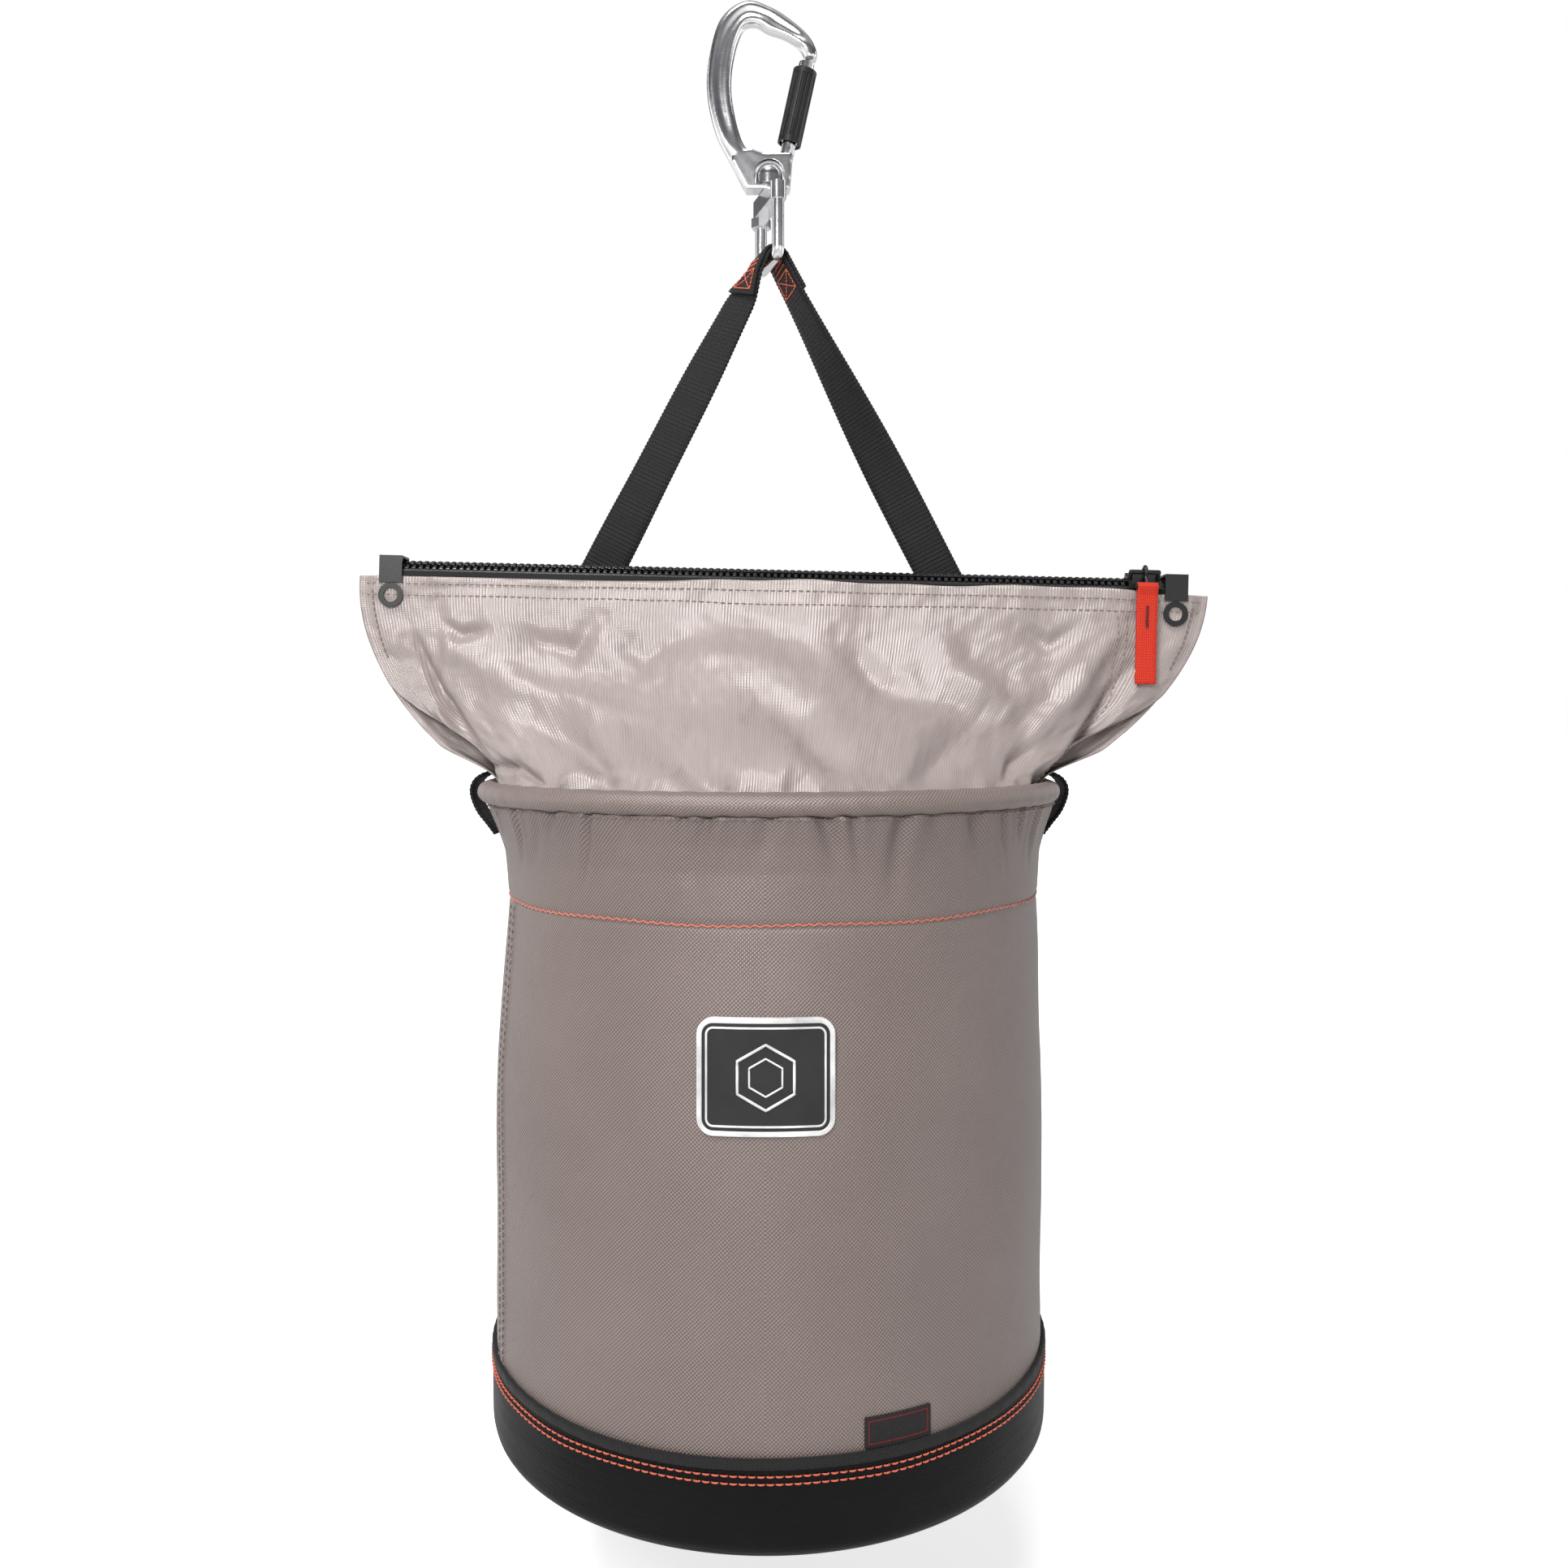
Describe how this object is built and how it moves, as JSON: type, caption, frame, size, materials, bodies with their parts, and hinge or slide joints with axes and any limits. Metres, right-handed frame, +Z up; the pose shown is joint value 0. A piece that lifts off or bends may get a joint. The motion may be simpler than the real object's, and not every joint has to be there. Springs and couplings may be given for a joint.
{
  "type": "hoist tool bucket organizer",
  "caption": "Round fabric tool bucket with a leather base, stiff rim hoop and zip-closed collar, hung by a twin webbing strap from a swivel carabiner with a twist-lock gate.",
  "frame": {"origin": "where the carabiner's inner crown bears on the hook or rail that it hangs from", "axes": "+Z up, X along the zip with the slider at +X, -Y the front with the badge"},
  "size_m": [0.486, 0.3358, 0.8217],
  "materials": {
    "body_fabric": "coarse twill nylon, matt",
    "collar_fabric": "light ribbed polyester, satin",
    "base_leather": "black synthetic leather, fine horizontal grain",
    "board": "dark stiffener sheet",
    "black_tape": "black woven tape",
    "zip_moulding": "black moulded acetal",
    "black_metal": "gloss black enamel",
    "webbing": "black ribbed nylon webbing",
    "red_webbing": "red-orange nylon webbing",
    "polished_alloy": "polished",
    "bail_steel": "bright plated",
    "spring_steel": "spring wire",
    "sleeve_black": "black ribbed sleeve",
    "badge": "dark woven badge with a pale border",
    "tag": "dark woven tag with a dark red edge"
  },
  "bodies": {
    "carabiner": {"carabiner_body": "polished_alloy", "gate_rivet": "bail_steel"},
    "gate": {"gate": "polished_alloy", "gate_spring": "spring_steel"},
    "sleeve": {"lock_sleeve": "sleeve_black", "sleeve_spring": "spring_steel"},
    "bail": {"bail": "bail_steel", "bail_nut": "bail_steel", "swivel_yoke": "bail_steel", "swivel_stem": "polished_alloy"},
    "harness": {"strap": "webbing", "strap_wrap": "webbing"},
    "bag": {"base_cover": "base_leather", "base_board": "board", "base_edge_tape": "black_tape", "body_panel": "body_fabric", "rim_hoop": "board", "rim_binding": "body_fabric", "front_badge": "badge", "side_tag": "tag", "collar_front": "collar_fabric", "collar_back": "collar_fabric", "zip_tape_front": "black_tape", "zip_tape_back": "black_tape", "zip_teeth_front": "zip_moulding", "zip_teeth_back": "zip_moulding", "corner_tab_left": "black_tape", "corner_tab_right": "black_tape", "grommet_left": "black_metal", "grommet_right": "black_metal", "grommet_washer_left": "black_metal", "grommet_washer_right": "black_metal", "anchor_left": "webbing", "anchor_right": "webbing"},
    "slider": {"zip_slider": "black_metal"},
    "pull": {"pull_link": "black_metal", "pull_tab": "red_webbing"}
  },
  "joints": [
    {"name": "gate_hinge", "type": "hinge", "parent": "carabiner", "child": "gate", "pos_m": [0.0193, 0, -0.0731], "axis": [0, -1, 0], "range_deg": [0, 24], "stiffness_Nm_per_rad": 0.2, "springref_deg": -11.46},
    {"name": "lock_turn", "type": "hinge", "parent": "gate", "child": "sleeve", "pos_m": [0.0193, 0, -0.0731], "axis": [0.2147, 0, 0.9767], "range_deg": [0, 90], "stiffness_Nm_per_rad": 0.02, "springref_deg": -11.46},
    {"name": "swivel", "type": "hinge", "parent": "carabiner", "child": "bail", "pos_m": [0.0085, 0, -0.0975], "axis": [0, 0, 1], "continuous": true},
    {"name": "strap_swing", "type": "hinge", "parent": "bail", "child": "harness", "pos_m": [0.0085, 0, -0.14], "axis": [-0.309, 0.9511, 0], "range_deg": [-60, 60]},
    {"name": "bag_tilt", "type": "hinge", "parent": "harness", "child": "bag", "pos_m": [0.0085, 0, -0.449], "axis": [1, 0, 0], "range_deg": [0, 50]},
    {"name": "zip_slide", "type": "slide", "parent": "bag", "child": "slider", "axis": [-0.9997, 0, 0.0244], "range_m": [0, 0.412], "deforming": ["pull_tab"]},
    {"name": "pull_swing", "type": "hinge", "parent": "slider", "child": "pull", "pos_m": [0.2231, -0.02559, -0.32448], "axis": [-0.9997, 0, 0.0244], "range_deg": [0, 170]}
  ]
}
